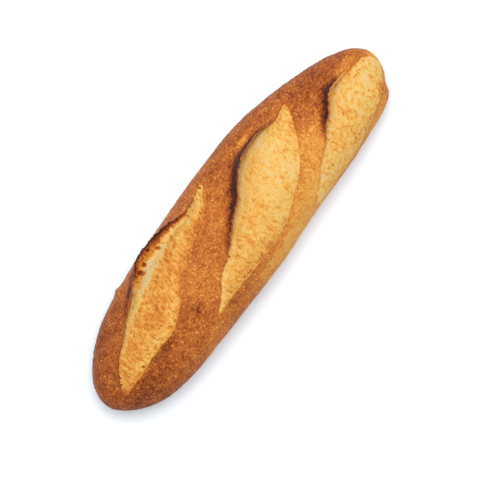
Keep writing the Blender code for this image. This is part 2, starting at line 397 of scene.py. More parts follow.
class Band:
    """One slash's part of the section at x, with its edges torn a little off the drawn lines."""

    def __init__(self, slash, outline, x):
        crease, ear = slash.places(x)
        self.slash = slash
        self.outline = outline
        self.x = x
        self.open = slash.openness(x)
        seed = SLASHES.index(slash)
        frayed = 0.45 * along_line(x, 5.5, seed) + 0.2 * along_line(x, 2.1, seed)
        self.crease_turn = turn_of(crease) + self.open * frayed / outline.quarter
        self.ear_turn = turn_of(ear)
        self.lift = through(slash.lift, x)
        self.inset = 0.1 + 0.3 * ease((self.lift - 7) / 5)
        self.valley = 0.6 * through(slash.valley, x)
        self.step = through(slash.step, x)
        self.swell = through(slash.swell, x)
        plain_edge = outline.turn(self.ear_turn)
        inside = min(max(x, slash.start), slash.end)
        torn = 0.3 * along_line(x, 4.5, seed + 3) + 0.8 * abs(along_line(x, 3.1, seed + 2)) - 0.3
        torn += 0.5 * along_line(x, 1.5, seed + 4) + sum(t * math.exp(-(((x - p) / w) ** 2)) for p, w, t in TEETH)
        drawn = np.array((through(slash.ear, inside) + torn, plain_edge[1] + self.lift * (1 + 0.06 * torn)))
        self.edge = plain_edge + self.open * (drawn - plain_edge)
        band = self.ear_turn - self.crease_turn
        flat_valley = self.ear_turn - min(FOLD_SHARE * band, FOLD_WIDTH / outline.quarter)
        self.undercut = through(slash.undercut, x)
        self.undercut *= 0.35 if self.undercut > 0 else 1
        behind = (through(slash.ear, inside) + self.undercut - outline.middle) / outline.half
        open_valley = turn_of(min(max(behind, -0.97), 0.97))
        self.valley_turn = flat_valley + self.open * (open_valley - flat_valley)
        self.width = (self.valley_turn - self.crease_turn) * outline.quarter

    def shift(self, turns):
        """Moves a closed band round the top."""
        self.crease_turn += turns
        self.valley_turn += turns
        self.ear_turn += turns
        self.edge = self.outline.turn(self.ear_turn)

    def crumb(self, shares):
        """The torn crumb, from the crease at 0 to the valley at 1."""
        points = self.outline.turn(self.crease_turn + shares * (self.valley_turn - self.crease_turn))
        rise = self.step * (1 - ease(shares / 0.6)) * ease(0.3 + shares * self.width / 1.6)
        rise += self.swell * np.sin(math.pi * shares)
        points[:, 1] += rise - self.valley * ease((shares - 0.45) / 0.55)
        return points

    def fold(self, shares):
        """The inner wall from the valley at 0 up to its top at WALL_PART, then round the lip to the edge at 1."""
        low = self.crumb(np.array([1.0]))[0]
        inner = self.edge - (self.inset, LIP)
        leaning = low + (0.75, 0.25) * (inner - low)
        caved = np.array((max(low[0], inner[0]) + 0.4 * CAVE * ease(self.lift / 4), low[1] + 0.2 * LIP))
        hollow = leaning + ease(0.5 + self.undercut / 3) * (caved - leaning)
        k = np.interp(shares, (0, 1 / 6, 2 / 6, 3 / 6, WALL_PART), (0, 0.3, 0.55, 0.8, 1))[:, None]
        opened = (1 - k) ** 2 * low + 2 * k * (1 - k) * hollow + k * k * inner
        turned = [inner, self.edge - (0.6, 0.5 * LIP), self.edge]
        for axis in (0, 1):
            lip = np.interp(shares, (WALL_PART, 5 / 6, 1), [p[axis] for p in turned])
            opened[:, axis] = np.where(shares > WALL_PART, lip, opened[:, axis])
        plain = self.outline.turn(self.valley_turn + (self.ear_turn - self.valley_turn) * shares)
        plain[:, 1] -= self.valley * (1 - shares) * (1 - self.open)
        return plain + self.open * (opened - plain)


def strip(outline, band, start, end, shares):
    """Crust from one band's ear, or the right side, to the next crease, or the left side."""
    turns = start + shares * (end - start)
    points = outline.turn(turns)
    if band is not None:
        run = min(EAR_RUN, 0.9 * (end - start) * outline.quarter)
        near = np.clip(1 - (turns - band.ear_turn) * outline.quarter / run, 0, None)[:, None]
        points += near * near * (band.edge - outline.turn(band.ear_turn))
    return points


# --- The crust's skin -----------------------------------------------------------------------------------


CLEARANCE = 0.03  # the least space between a slash and the closed end of the next, in turns of the top
SINK = 4.5  # the crust's skin lies this far under the crumb
SHELF = 0.5  # and this far past a crease it is still near the top, to carry the crumb's border
TUCK = 0.9  # the crumb's border runs on this far under the crust
NOSE_END = 129.4  # where the last slab of crumb ends on the nose
DRAWN_IN = 0.15  # the crust's relief is drawn in by this much
EDGE_RELIEF = (0.1, 0.3)  # how much relief an ear takes inside its edge, and at the edge
THIN_RUN = 5.0  # it takes all of it this far behind the edge
ROOM = 0.6  # and eased off within this distance of the loaf's outer box
WIDEST = (-36.45, 35.8)
# Knobs on the crust's left flank, as (x, y, reach, height).
KNOBS = ((-72.5, 32.0, 2.6, 1.3), (-95, 27, 6, 0.3), (57, 33, 8, 0.3))


def present(slash, x):
    """1 where a slash holds a slab of crumb, falling to 0 over its last few millimetres."""
    last, fall = (NOSE_END, 1.6) if slash.name == "right" else (slash.end, 3.0)
    return ease((x - slash.start) / 3.0) * ease((last - x) / fall)


def sunk(band):
    """The crust under a slab of crumb: from the crease down, along below the valley, and up behind the wall."""
    here = present(band.slash, band.x)
    shelf = min(SHELF / max(band.width, 0.1), 0.3)
    shares = np.concatenate(([shelf], np.linspace(shelf, 1, SUNK_POINTS + 1)[1:]))
    floor = band.crumb(shares)
    floor[:, 1] -= here * min(SINK, 0.35 * max(band.width, 0) + 0.5)
    floor[0, 1] = band.crumb(shares[:1])[0, 1] - 0.2 * here
    rising = np.linspace(0, WALL_PART, SUNK_WALL_POINTS + 1)[1:]
    wall = band.fold(rising)
    left = (1 - rising / WALL_PART)[:, None]
    thick = 1 + 1.6 * ease((band.lift - 7) / 5)
    opened = np.array((0.1, 0)) + left * thick * np.array((0.6, -1.1))
    closed = (0.04 + 1.4 * left) * np.array((0, -1))
    wall += here * (closed + band.open * (opened - closed))
    lip = band.fold(np.linspace(WALL_PART, 1, LIP_POINTS + 1)[1:])
    return np.concatenate((floor, wall, lip))


def crust_ring(x):
    """The crust's section at x as rows of (y, z), how far each point takes the relief, and its share of crumb."""
    outline = Outline(x)
    bands = [Band(slash, outline, x) for slash in SLASHES]
    for earlier, later in zip(bands, bands[1:]):
        overlap = earlier.ear_turn + CLEARANCE - later.crease_turn
        if overlap > 0 and later.open == 0:
            later.shift(overlap)
        elif overlap > 0 and earlier.open == 0:
            earlier.shift(-overlap)
    foot = (outline.half - outline.base_half, outline.belly - outline.under)
    angle = np.linspace(0, math.pi / 2, SIDE_POINTS + 1)
    side = np.stack(
        (outline.base_half + foot[0] * np.cos(angle), outline.belly - foot[1] * np.sin(angle)), axis=-1
    )
    rows = [side[::-1] * (-1, 1) + (outline.middle, 0)]
    relief = [np.ones(len(side))]
    crumbed = [np.zeros(len(side))]
    start = -1.0
    band = None
    for number, following in enumerate((*bands, None)):
        end = 1.0 if following is None else following.crease_turn
        shares = np.linspace(0, 1, STRIP_POINTS[number] + 1)[1:]
        rows.append(strip(outline, band, start, end, shares))
        from_edge = ease(shares * (end - start) * outline.quarter / THIN_RUN)
        thin = 0 if band is None else present(band.slash, x) * band.open * (1 - EDGE_RELIEF[1])
        relief.append(1 - thin * (1 - from_edge))
        crumbed.append(np.zeros(len(shares)))
        if following is None:
            break
        rows.append(sunk(following))
        here = present(following.slash, x)
        hidden = np.ones(SUNK_POINTS + 1 + SUNK_WALL_POINTS)
        under_wall = np.arange(len(hidden)) > SUNK_POINTS
        sunk_relief = np.where(under_wall, 1 - here * following.open, 1 - here)
        held = 1 - here * following.open * (1 - np.linspace(*EDGE_RELIEF, LIP_POINTS))
        relief.append(np.concatenate((sunk_relief, held)))
        torn = ease((x - following.slash.start) / 3.0) if following.slash.name == "right" else here
        shown = np.where(np.arange(len(hidden)) < 2, max(0, (x - NOSE_END + 2) / 2), 1) * torn
        shown[-1] *= max(following.open, ease(x - NOSE_END + 1))
        crumbed.append(np.concatenate((shown, np.zeros(LIP_POINTS))))
        start = following.ear_turn
        band = following
    rows.append(side[1:] + (outline.middle, 0))
    flat = np.linspace(1, -1, BASE_POINTS + 2)[1:-1]
    rows.append(np.stack((outline.middle + outline.base_half * flat, np.full(len(flat), outline.under)), axis=-1))
    relief.append(np.ones(len(side) - 1 + len(flat)))
    crumbed.append(np.zeros(len(side) - 1 + len(flat)))
    return np.concatenate(rows), np.concatenate(relief), np.concatenate(crumbed)


# A hairline crack in the crust, as (x, y).
CRACK = ((-60.8, -16.3), (-57.4, -15.4), (-54.6, -15.2), (-52.4, -13.8), (-49.2, -12.4))


def near_line(points, line, reach):
    """1 on a drawn line of (x, y) points seen from above, falling to 0 over its reach."""
    nearest = np.full(len(points), 1e9)
    for first, second in zip(line, line[1:]):
        way = np.subtract(second, first)
        from_first = points[:, :2] - first
        along = np.clip(from_first @ way / (way @ way), 0, 1)[:, None]
        nearest = np.minimum(nearest, np.linalg.norm(from_first - along * way, axis=1))
    return np.exp(-((nearest / reach) ** 2))


def crust_relief(points):
    """How far the crust stands off its plain form, in millimetres."""
    relief = 0.28 * lumps(points, 17, 0) + 0.18 * lumps(points, 6, 1) + 0.1 * lumps(points, 2.4, 2) - DRAWN_IN
    for x, y, reach, height in KNOBS:
        gap = (points[:, 0] - x) ** 2 + (points[:, 1] - y) ** 2
        relief += height * np.exp(-gap / reach**2) * (points[:, 2] > 12)
    relief -= 0.2 * near_line(points, CRACK, 0.4)
    gap, chance = pits(points, 4.0, 3)
    relief += 0.14 * np.where(chance > 0.5, ease(1 - gap / 0.4), 0)
    settled = ease(points[:, 2] / 3.0) * ease((HALF_LENGTH - np.abs(points[:, 0])) / 1.5)
    return relief * settled


def within_box(points):
    """The points, with any that come near the loaf's greatest width eased back inside it."""
    eased = points.copy()
    for way, limit in ((-1, -WIDEST[0]), (1, WIDEST[1])):
        past = way * eased[:, 1] - (limit - ROOM)
        eased[:, 1] = np.where(past > 0, way * (limit - ROOM + ROOM * np.tanh(past / ROOM)), eased[:, 1])
    return eased


def normals_of(grid, closed):
    """Unit normals of a grid of points, rows along X and columns from right to left."""
    along = np.gradient(grid, axis=0)
    if closed:
        over = np.roll(grid, -1, axis=1) - np.roll(grid, 1, axis=1)
    else:
        over = np.gradient(grid, axis=1)
    normal = np.cross(along, over)
    return normal / np.maximum(np.linalg.norm(normal, axis=2, keepdims=True), 1e-9)


def skin_faces(rows, columns):
    """Quads between rings of points."""
    first = np.arange(rows - 1)[:, None] * columns
    here = np.arange(columns)[None, :]
    after = (here + 1) % columns
    quads = np.stack((first + here, first + here + columns, first + after + columns, first + after), axis=-1)
    return quads.reshape(-1, 4).tolist()


def mesh_object(name, points, faces, fields, material):
    """A smooth mesh from points in millimetres, with one stored number a point for each field."""
    mesh = bpy.data.meshes.new(name)
    stood = (points + (0, SIDE_SHIFT, 0)) * MM
    mesh.from_pydata(stood.tolist(), [], faces)
    for label, values in fields.items():
        stored = mesh.attributes.new(label, "FLOAT", "POINT")
        stored.data.foreach_set("value", np.asarray(values, np.float32))
    mesh.materials.append(material)
    mesh.shade_smooth()
    made = bpy.data.objects.new(name, mesh)
    bpy.context.scene.collection.objects.link(made)
    return made


# --- Browning -------------------------------------------------------------------------------------------


CRUST_BROWN = 0.56
# Stronger and weaker heat on the crust, and one painted shadow, as (x, y, reach along, reach across, browning added).
HEAT_AND_SHADE = (
    (-122, 0, 34, 60, 0.12),
    (-107, -19, 13, 9, 0.1),
    (-80, -14, 17, 5, 0.02),
    # painted shadow: the crust darkened where the left slash's raised crumb step shades it
    (-77, -12.6, 9, 1.7, 0.13),
    (-88, 24, 32, 10, 0.08),
    (-80, -25, 32, 12, 0.05),
    (-54, -13, 9, 6, 0.06),
    (8, -33, 48, 8, -0.2),
    (45, -24, 34, 9, -0.19),
    (-38, -9, 12, 8, -0.05),
    (63, -8, 20, 13, -0.15),
    (55, 31, 30, 8, 0.07),
    (90, 16, 24, 12, 0.1),
    (112, 12, 16, 8, 0.07),
    (113, 4.5, 9, 3.5, -0.14),
    (104, -31, 26, 6, -0.19),
    (42.5, 25.6, 4.5, 1.4, -0.3),
    (12, 27, 22, 6, 0.05),
    (-30, -31, 18, 7, 0.12),
    (-57, -29, 14, 5, -0.04),
    (67, 20.2, 8, 2, -0.09),
    (124, -17, 6, 6, -0.16),
    (129.5, -8, 3.5, 7, -0.3),
    (0, -27, 32, 2.2, 0.08),
    (-20, 5, 12, 7, 0.05),
    (78, 5, 9, 7, 0.06),
    (90, 14, 12, 6, 0.03),
    (30, 31, 18, 5, 0.03),
)
BURNT = 1.03


def crust_brown_and_shade(points):
    """How brown the crust is at each point, from 0, raw and pale, to 1, burnt, with painted shadow darkening it below
    the left slash's step.
    """
    brown = np.full(len(points), CRUST_BROWN)
    for x, y, along, over, added in HEAT_AND_SHADE:
        brown += added * np.exp(-(((points[:, 0] - x) / along) ** 2) - ((points[:, 1] - y) / over) ** 2)
    mottle = 0.05 * lumps(points, 15, 1) + 0.055 * lumps(points, 5.5, 2) + 0.05 * lumps(points, 2.4, 3)
    brown += mottle * np.clip((brown - 0.2) / 0.36, 0.3, 1.1)
    under = ease((24 - points[:, 2]) / 17)
    return brown + under * 0.24 + 0.16 * near_line(points, CRACK, 0.5)


def edge_line(slash):
    """The ear's edge, as rows of (x, y, z)."""
    places = np.linspace(slash.start, slash.end, 320)
    return np.array([(x, *Band(slash, Outline(x), x).edge) for x in places])


def scorched(points, brown):
    """(browning, amber from 0 to 1) of the crust, once the ears' edges have charred."""
    char = np.zeros(len(points))
    amber = np.zeros(len(points))
    paled = np.zeros(len(points))
    mottle = 1 + 0.25 * lumps(points, 5, 4) + 0.15 * lumps(points, 1.3, 5)
    torn = 0.25 * lumps(points, 2.2, 6) + 0.15 * lumps(points, 1.1, 7)
    tips = lumps(points, 3.4, 3)
    fray = lumps(points, 1.2, 2)
    for slash in SLASHES:
        edges = edge_line(slash)
        beside = points[:, 1] - np.interp(points[:, 0], edges[:, 0], edges[:, 1])
        near = (np.abs(points[:, 0] - (slash.start + slash.end) / 2) < (slash.end - slash.start) / 2 + 12)
        chosen = np.flatnonzero(near & (points[:, 2] > 15) & (beside > -2.5) & (beside < 14))
        for part in np.array_split(chosen, max(len(chosen) // 8000, 1)):
            distance = np.linalg.norm((points[part, None] - edges[None]) * (1, 1, 0.4), axis=2)
            at = edges[distance.argmin(axis=1), 0]
            distance = distance.min(axis=1)
            width = np.maximum(between(slash.scorch, at, 1) * mottle[part], 0.01)
            dark = between(slash.scorch, at, 2)
            past = distance - between(slash.scorch, at, 3) + torn[part]
            begun = ease((past + 0.5) / 0.9)
            faded = np.exp(-((np.maximum(past - 0.25 * width, 0) / (0.75 * width)) ** 2))
            char[part] = np.maximum(char[part], dark * begun * faded)
            edge = np.exp(-((distance / np.maximum(0.7 * between(slash.scorch, at, 3), 0.5)) ** 2)) * (1 - dark * begun)
            rim = between(slash.rim, at) * edge * ease(0.3 + 1.4 * tips[part] + 0.9 * fray[part])
            amber[part] = np.maximum(amber[part], np.minimum(rim, 1))
            pale_part = ease((at - 92) / 4) * ease((112 - at) / 3) * (slash.name == "right")
            paled[part] = np.maximum(paled[part], edge * pale_part)
    brown = brown - 0.22 * paled
    return brown + char * (BURNT - brown), amber


# --- Making the crust -----------------------------------------------------------------------------------


def crust_places():
    """Where the crust's sections stand along X: closer together where the ends turn in."""
    places = []
    for k in range(1, CRUST_ROWS):
        share = k / CRUST_ROWS
        even = 2 * share - 1
        round_end = math.cos(math.pi * share)
        places.append(HALF_LENGTH * (CRUST_EVEN_SHARE * even - (1 - CRUST_EVEN_SHARE) * round_end))
    return places


def blistered(points, kept):
    """How thickly blisters lie at each point: in drifts over the top and the sides, and none below or under crumb."""
    drifts = ease(0.45 + 0.9 * lumps(points, 13, 5) + 0.5 * lumps(points, 5, 6))
    ends = ease((HALF_LENGTH - 1.5 - np.abs(points[:, 0])) / 2)
    return (kept > 0.6) * (0.25 + 1.3 * drifts) * ease((points[:, 2] - 6) / 8) * ends


def make_crust(material):
    places = crust_places()
    rings = [crust_ring(x) for x in places]
    grid = np.array([np.column_stack((np.full(len(ring), x), ring)) for x, (ring, _, _) in zip(places, rings)])
    kept = np.concatenate([relief for _, relief, _ in rings])
    crumbed = np.concatenate([share for _, _, share in rings])
    normal = normals_of(grid, closed=True).reshape(-1, 3)
    columns = grid.shape[1]
    points = grid.reshape(-1, 3)
    brown, amber = scorched(points, crust_brown_and_shade(points))
    points = within_box(points + normal * (kept * crust_relief(points))[:, None])
    tips = np.array([(end[0], end[1], end[3]) for end in (STATIONS[0], STATIONS[-1])])
    faces = skin_faces(len(places), columns)
    last = len(points) - columns
    for k in range(columns):
        after = (k + 1) % columns
        faces.append((len(points), k, after))
        faces.append((len(points) + 1, last + after, last + k))
    brown = brown + crumbed * (0.24 - brown)
    fields = {
        "brown": np.append(brown, (0.66, 0.3)),
        "amber": np.append(amber, (0, 0)),
        "bare": np.append(crumbed, (0, 1)),
        "blistered": np.append(blistered(points, kept), (0, 0)),
    }
    return mesh_object("crust", np.concatenate((points, tips)), faces, fields, material)


# --- Making the crumb -----------------------------------------------------------------------------------


# Open bubbles in the crumb, as (x, y, half length, half width, depth, how toasted inside).
BUBBLES = (
    (-55.0, 25.8, 2.4, 1.8, 1.2, 1.0),
    (-50.4, 27.6, 1.8, 1.4, 1.1, 0.95),
    (-37.5, 26.9, 2.3, 1.2, 1.1, 1.0),
    (-33.5, 26.4, 1.3, 0.8, 0.6, 0.5),
    (-46.2, 23.8, 2.2, 1.2, 0.6, 0.1),
    (-61.0, 24.2, 1.6, 1.1, 0.6, 0.45),
    (-27.7, 28.3, 1.2, 0.9, 0.5, 0.6),
    (-21.8, 27.2, 1.1, 0.9, 0.5, 0.45),
    (-18.3, 27.3, 0.9, 0.8, 0.4, 0.4),
    (-47.5, 30.2, 1.0, 0.8, 0.5, 0.8),
    (-42.0, 31.0, 1.2, 0.8, 0.5, 0.8),
    (-66.0, 21.6, 1.4, 1.1, 0.4, 0.15),
    (-111.8, -0.9, 1.2, 0.8, 0.9, 0.9),
    (-114.3, -4.4, 0.8, 0.6, 0.6, 0.6),
    (-98.2, -8.2, 1.2, 0.9, 0.9, 0.8),
    (-89.0, -7.0, 0.8, 0.7, 0.5, 0.4),
    (-79.4, -6.6, 2.7, 1.3, 1.2, 0.0),
    (-85.2, -7.5, 1.5, 1.4, 1.1, 0.05),
    (-70.2, -7.0, 2.3, 1.3, 1.1, 0.05),
    (-74.4, -8.3, 1.1, 0.9, 0.6, 0.0),
    (-65.0, -6.8, 1.3, 1.1, 0.5, 0.4),
    (5.2, 28.9, 1.2, 0.8, 0.8, 0.8),
    (-16.6, -9.3, 0.9, 0.7, 0.8, 0.7),
    (-15.4, -13.2, 1.8, 1.1, 0.4, 0.0),
    (73.3, -14.6, 0.8, 0.7, 0.6, 0.5),
    (60.0, -24.8, 1.5, 1.1, 0.4, 0.1),
    (62.8, -26.0, 1.4, 1.0, 0.4, 0.15),
    (113.2, -4.4, 0.8, 0.5, 0.5, 0.6),
    (117.0, -4.0, 1.6, 0.6, 0.4, 0.6),
    (69.3, 14.0, 1.2, 1.0, 0.3, 0.0),
    (110.5, -16.0, 0.8, 0.7, 0.4, 0.4),
)
BUBBLE_LEAN = math.radians(-52)  # the way their long axis runs
# Strands and folds of skin that stand up from the crumb, as (line of (x, y), reach).
STRANDS = (
    (((-52, 24.0), (-49, 25.6), (-46, 27.6), (-42, 29.3), (-39.4, 29.9)), 0.7),
    (((-63.6, 8.8), (-63.2, 6.6), (-61.8, 4.6), (-60.4, 2.6)), 0.55),
    (((-90.6, 5.6), (-89.6, 1.6), (-89.2, -2.6)), 0.5),
    (((48.6, -8.4), (51.0, -5.6), (52.2, -2.8)), 0.5),
    (((84.6, -22.4), (86.6, -18.6), (87.4, -14.6)), 0.5),
    (((103.8, -15.6), (102.6, -11.2), (102.2, -8.0)), 0.5),
    (((-23.2, 21.2), (-22.6, 17.4), (-20.4, 13.8)), 0.5),
)
# Round skins of burst bubbles, raised a little, as (x, y, radius).
BURST = (
    (-21.0, 17.5, 4.4),
    (-12.5, 21.5, 3.2),
    (-33.0, 15.0, 3.4),
    (2.5, -20.5, 4.2),
    (-19.5, -21.5, 3.6),
    (-4.5, -22.5, 2.6),
    (53.0, 3.0, 3.6),
    (69.5, 14.2, 2.4),
    (61.0, -25.5, 3.0),
    (108.0, -7.0, 3.4),
    (-62.0, 3.0, 3.6),
    (-92.0, 3.0, 3.0),
)


def on_sheet(points, over):
    """The crumb laid out flat: along X, and the way across from the crease."""
    return np.stack((points[:, 0], over, np.zeros(len(points))), axis=-1)


def wrinkles(sheet):
    """Fibres torn across the crumb: (their height from -1 to 1, finer flecks, how wrinkled it is from 0 to 1)."""
    pushed = np.stack((1.5 * lumps(sheet, 4.5, 4), 1.5 * lumps(sheet, 4, 5), np.zeros(len(sheet))), axis=-1)
    stretched = (sheet + pushed) * (1.0, 0.45, 1.0)
    coarse = 1 - 2.4 * np.abs(lumps(stretched, 1.9, 6))
    fine = 1 - 2.4 * np.abs(lumps(stretched + 31.7, 1.1, 7))
    flecks = lumps(stretched + 12.3, 1.2, 3)
    patch = 0.65 + 0.35 * ease(0.5 + 1.1 * lumps(sheet, 9, 7))
    return 0.5 * coarse + 0.5 * fine, flecks, patch


def cell_walls(sheet):
    """Near 1 on a web of thin walls between small burst cells, pulled longer across the crumb."""
    pushed = sheet + np.stack((1.3 * lumps(sheet, 4, 2), 1.3 * lumps(sheet, 4, 6), np.zeros(len(sheet))), axis=-1)
    web = np.zeros(len(sheet))
    for size, seed, weight in ((3.4, 5, 1.0), (1.7, 4, 0.6)):
        nearest, second = two_nearest(pushed * (1, 0.65, 1) / size, seed)
        web = np.maximum(web, weight * ease(1 - (second - nearest) / 0.2))
    return web


def burst_rings(points):
    """Near 1 on the round outlines of the burst bubbles, which are a little out of round."""
    ring = np.zeros(len(points))
    wobble = 0.22 * lumps(points * (1, 1, 0), 3.4, 2)
    for x, y, radius in BURST:
        distance = np.hypot(points[:, 0] - x, points[:, 1] - y) / radius + wobble
        ring = np.maximum(ring, np.exp(-(((distance - 1) * radius / 0.5) ** 2)))
    return ring


def open_bubbles(points):
    """(depth, how toasted inside, how much on the rim) of the open bubbles at each point."""
    depth = np.zeros(len(points))
    toasted = np.zeros(len(points))
    rim = np.zeros(len(points))
    wobble = 0.16 * lumps(points * (1, 1, 0), 1.8, 1)
    way = np.array((math.cos(BUBBLE_LEAN), math.sin(BUBBLE_LEAN)))
    for x, y, length, width, deep, toast in BUBBLES:
        gap = points[:, :2] - (x, y)
        lengthways = gap @ way / length
        distance = np.hypot(lengthways, gap @ (-way[1], way[0]) / width) + wobble
        bowl = ease((1.15 - distance) / 0.7)
        depth = np.maximum(depth, deep * bowl)
        toasted = np.maximum(toasted, toast * bowl * ease(0.75 - 0.45 * lengthways))
        rim = np.maximum(rim, min(deep, 1) * np.exp(-(((distance - 1.2) * width / 0.35) ** 2)))
    return depth, toasted, rim


def crumb_places(slash):
    last = NOSE_END if slash.name == "right" else slash.end
    first_turn = around(slash.start)
    last_turn = around(last)
    count = int((last_turn - first_turn) * HALF_LENGTH / CRUMB_ROW)
    return [-HALF_LENGTH * math.cos(first_turn + (last_turn - first_turn) * k / count) for k in range(count + 1)]


def make_crumb(slash, material):
    places = crumb_places(slash)
    bands = [Band(slash, Outline(x), x) for x in places]
    rising = np.linspace(0, WALL_PART, WALL_POINTS + 1)[1:]
    rows = []
    overs = []
    for x, band in zip(places, bands):
        over = np.linspace(-TUCK, band.width, CRUMB_POINTS)
        flat = np.concatenate((band.crumb(over / band.width), band.fold(rising)))
        rows.append(np.column_stack((np.full(len(flat), x), flat)))
        climbed = np.cumsum(np.hypot(*np.diff(flat[CRUMB_POINTS - 1 :], axis=0).T))
        overs.append(np.concatenate((over, band.width + climbed)))
    grid = np.array(rows)
    count, columns, _ = grid.shape
    points = grid.reshape(-1, 3)
    over = np.concatenate(overs)
    normal = normals_of(grid, closed=False)
    for _ in range(12):
        held = np.pad(normal, ((0, 0), (1, 1), (0, 0)), mode="edge")
        normal = (held[:, :-2] + 2 * normal + held[:, 2:]) / 4
    normal = normal.reshape(-1, 3)
    width = np.repeat([band.width for band in bands], columns)
    here = np.repeat([present(slash, x) for x in places], columns)
    wall = np.tile(np.concatenate((np.zeros(CRUMB_POINTS), rising / WALL_PART)), count)

    sheet = on_sheet(points, over)
    fibre, flecks, patch = wrinkles(sheet)
    ring = burst_rings(points)
    depth, toasted, rim = open_bubbles(points)
    web = cell_walls(sheet)
    strand = np.max([near_line(points, line, reach) for line, reach in STRANDS], axis=0)
    height = 0.3 * lumps(sheet, 9, 0) + 0.2 * lumps(sheet, 3.6, 1) + 0.1 * lumps(sheet, 1.5, 2)
    height += 0.2 * patch * fibre + 0.2 * ring + 0.16 * rim + 0.1 * web + 0.3 * strand - depth
    height = height * ease(0.1 + width / 8) + 0.1

    soft = between(slash.soft, points[:, 0])
    opened = np.repeat([band.open for band in bands], columns)
    risen = ease((over + 0.3) / (0.5 + 0.4 * soft)) * ease((1.05 - wall) / 0.3)
    clear = ease((over + 0.9) / 1.0) * (1 - 0.3 * opened * ease((wall - 0.7) / 0.3))
    skin = crust_relief(points) * (1 - wall * opened)
    lifted = (skin + risen * height - 0.35 * (1 - clear)) * here - 0.9 * (1 - here)
    top = within_box(points + normal * lifted[:, None]).reshape(count, columns, 3)

    # Below lies a coarser copy of the same slab, sunk under it.
    steps = np.linspace(0, CRUMB_POINTS - 1, 9).astype(int).tolist()
    steps += np.linspace(CRUMB_POINTS - 1, columns - 1, 4).astype(int).tolist()[1:]
    thick = np.minimum(2.4, 0.2 * width.reshape(count, columns)[:, :1] + 0.4)
    ear_room = np.array([1 + 1.1 * ease((band.lift - 7) / 5) for band in bands])[:, None]
    below = grid[:, steps].copy()
    for place, index in enumerate(steps):
        up = wall[index]
        back = (0.22 * ear_room if up > 0 else 0) * (1 - up)
        down = np.stack(np.broadcast_arrays(0, back, -1 + 0.95 * up), axis=-1)[:, 0] if up > 0 else (0, 0, -1)
        below[:, place] += thick * down * (0.4 if index == 0 else 1)
    ring_points = np.concatenate((top, below[:, ::-1]), axis=1)
    size = ring_points.shape[1]
    faces = skin_faces(count, size)
    faces.append(tuple(range(size)))
    faces.append(tuple(range((count - 1) * size, count * size))[::-1])

    edges = edge_line(slash)
    from_ear = np.interp(points[:, 0], edges[:, 0], edges[:, 1]) - points[:, 1]
    brown, amber = crumb_baking(slash, points, sheet, over, from_ear, wall)
    rough = between(((-119, 1.05), (-20, 1.1), (-5, 1.5), (9, 1.5)), points[:, 0]) if slash.name == "left" else 1.0
    rough = 1.15 if slash.name == "right" else rough
    brown += rough * (0.1 * flecks - 0.19 * patch * fibre) - 0.07 * ring + 0.45 * toasted
    brown -= 0.1 * rim + 0.06 * web + 0.1 * strand
    amber = np.maximum(amber * (1 - 0.3 * strand) * (1 - 0.4 * rim), 0.9 * toasted)
    crust = crust_brown_and_shade(points)
    kept = crumb_kept(slash, points, sheet, over)
    fields = {}
    for label, values in (("brown", crust + kept * (brown - crust)), ("amber", amber * kept), ("bare", kept)):
        whole = values.reshape(count, columns)
        fields[label] = np.concatenate((whole, whole[:, steps][:, ::-1]), axis=1).reshape(-1)
    return mesh_object(f"crumb_{slash.name}", ring_points.reshape(-1, 3), faces, fields, material)


# Browner patches of the bare crumb, as (x, y, reach along, reach across, browning added).
TOASTED = (
    (117, -19.5, 5, 3.5, 0.16),
    (115, -24, 4, 1.5, 0.2),
    (52, 3, 5, 3, 0.1),
    (66, 9, 5, 5, 0.06),
    (113, -4.2, 5, 0.9, 0.14),
    (112, -1.5, 6, 2, 0.07),
    (92.5, -14.8, 2.2, 4, 0.07),
    (86.4, -19.5, 1.1, 3.5, 0.12),
    (108, -12, 3, 3, 0.05),
    (76, -24, 4, 3, 0.05),
    (101, -20, 1.6, 5, 0.06),
    (-30, -22, 9, 3, 0.03),
    (0, -24, 18, 2.5, 0.08),
    (-62, 6, 8, 5, 0.05),
    (-45, 14, 10, 4, 0.05),
    (98, -27, 12, 1.8, 0.12),
    (-93, -7.6, 13, 2.2, -0.08),
    (-78, -6.6, 5, 2.6, -0.1),
    (-66, -6, 4, 2.6, -0.08),
    (-112, -6, 6, 4, -0.02),
    (118, -18, 5, 5, 0.06),
    (121, 0, 6, 2, 0.08),
    (-55, 29.5, 4, 2.5, 0.1),
)


def crumb_baking(slash, points, sheet, over, from_ear, wall):
    """(browning, amber) of the bare crumb: creamy under the ear, and amber high on a wall that faces the heat."""
    x = points[:, 0]
    strip_width = between(slash.cream, x, 2)
    in_strip = ease((strip_width - from_ear + 0.9 * lumps(sheet, 5, 1)) / 2.2 + 0.5)
    brown = between(slash.tone, x) - between(slash.cream, x) * in_strip
    brown += 0.05 * ease((5 - over) / 5)
    for middle, side, along, across_it, added in TOASTED:
        brown += added * np.exp(-(((x - middle) / along) ** 2) - ((points[:, 1] - side) / across_it) ** 2)
    brown += 0.07 * lumps(sheet, 8, 3) + (0.13 if slash.name == "right" else 0.09) * lumps(sheet, 3.2, 5)
    brown -= 0.1 * np.exp(-(((over - 0.5) / 0.5) ** 2)) * (between(slash.soft, x) < 2)
    amber = np.zeros(len(points))
    if slash.name == "left":
        toasted = np.interp(x, (-66, -57, -22, -14, -6), (0, 1, 1, 0.6, 0))
        wavy = 1.1 * lumps(sheet, 5, 4) + 1.5 * lumps(sheet, 1.8, 5)
        brown += 0.1 * toasted * ease(3 * wall)
        reach = np.interp(x, (-58, -50, -38, -30, -20), (7.8, 8.6, 8.2, 5.0, 4.5))
        amber = 0.95 * toasted * ease((reach - from_ear + wavy) / 3.2)
        charred = toasted * ease((1.6 - from_ear + 0.4 * wavy) / 1.5)
        brown += 0.3 * amber + 0.36 * toasted * ease((4.6 - from_ear + 0.8 * wavy) / 4.0)
        brown += charred * (0.98 - brown)
        amber *= 1 - charred
    else:
        brown += 0.16 * ease(3 * wall)
    return brown, amber


